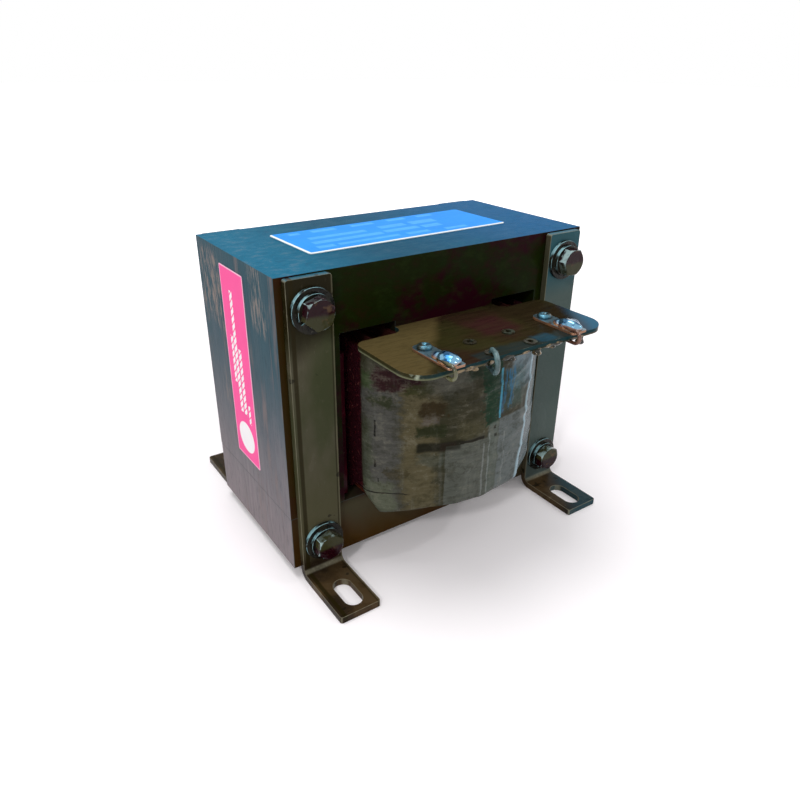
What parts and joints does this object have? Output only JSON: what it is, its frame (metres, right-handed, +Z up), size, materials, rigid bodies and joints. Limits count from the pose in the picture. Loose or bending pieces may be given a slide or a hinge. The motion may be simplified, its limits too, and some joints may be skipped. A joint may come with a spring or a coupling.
{
  "type": "laminated chassis transformer",
  "caption": "Open-frame mains transformer: laminated steel core round a wrapped coil, solder-tab boards on both faces, and bent straps with slotted mounting feet.",
  "frame": {"origin": "on the mounting surface, under the middle of the core", "axes": "+Z up, -Y out of the front face with the first terminal board, +X to the right of that face"},
  "size_m": [0.1526, 0.1755, 0.1322],
  "materials": {
    "core_varnished": "black baking varnish over stacked steel plates, glossy",
    "strap_varnished": "black varnish over steel strap, satin",
    "fastener_varnished": "black varnish over plated steel, satin",
    "nut_steel": "varnish-dulled steel",
    "winding_wire": "enamelled copper wire, glossy",
    "tube_board": "pressed insulating board, matt",
    "coil_tape": "varnished insulating tape, satin",
    "wedge_board": "varnished insulating stick, glossy",
    "terminal_board": "varnished phenolic board, glossy",
    "terminal_metal": "tinned brass under varnish",
    "lead_sleeve": "varnished sleeved wire",
    "solder": "dull solder",
    "nameplate_film": "printed foil, glossy",
    "label_film": "printed film, glossy"
  },
  "bodies": {
    "root": {"e_lamination_stack": "core_varnished", "i_lamination_stack": "core_varnished", "winding_tube": "tube_board", "primary_winding": "winding_wire", "winding_barrier": "coil_tape", "secondary_winding": "winding_wire", "coil_wrap": "coil_tape", "left_coil_wedge": "wedge_board", "right_coil_wedge": "wedge_board", "front_left_strap": "strap_varnished", "front_right_strap": "strap_varnished", "rear_left_strap": "strap_varnished", "rear_right_strap": "strap_varnished", "through_bolts": "fastener_varnished", "lock_washers": "fastener_varnished", "flat_washers": "fastener_varnished", "hex_nuts": "nut_steel", "front_terminal_board": "terminal_board", "rear_terminal_board": "terminal_board", "terminal_rivets": "terminal_metal", "board_eyelets": "terminal_metal", "front_terminal_left": "terminal_metal", "front_terminal_right": "terminal_metal", "rear_terminal_1": "terminal_metal", "rear_terminal_2": "terminal_metal", "rear_terminal_3": "terminal_metal", "rear_terminal_4": "terminal_metal", "front_lead_left": "lead_sleeve", "front_lead_middle": "lead_sleeve", "front_lead_right": "lead_sleeve", "rear_lead_1": "lead_sleeve", "rear_lead_2": "lead_sleeve", "rear_lead_3": "lead_sleeve", "rear_lead_4": "lead_sleeve", "front_solder_joints": "solder", "rear_solder_joints": "solder", "nameplate": "nameplate_film", "side_label": "label_film"}
  },
  "joints": []
}
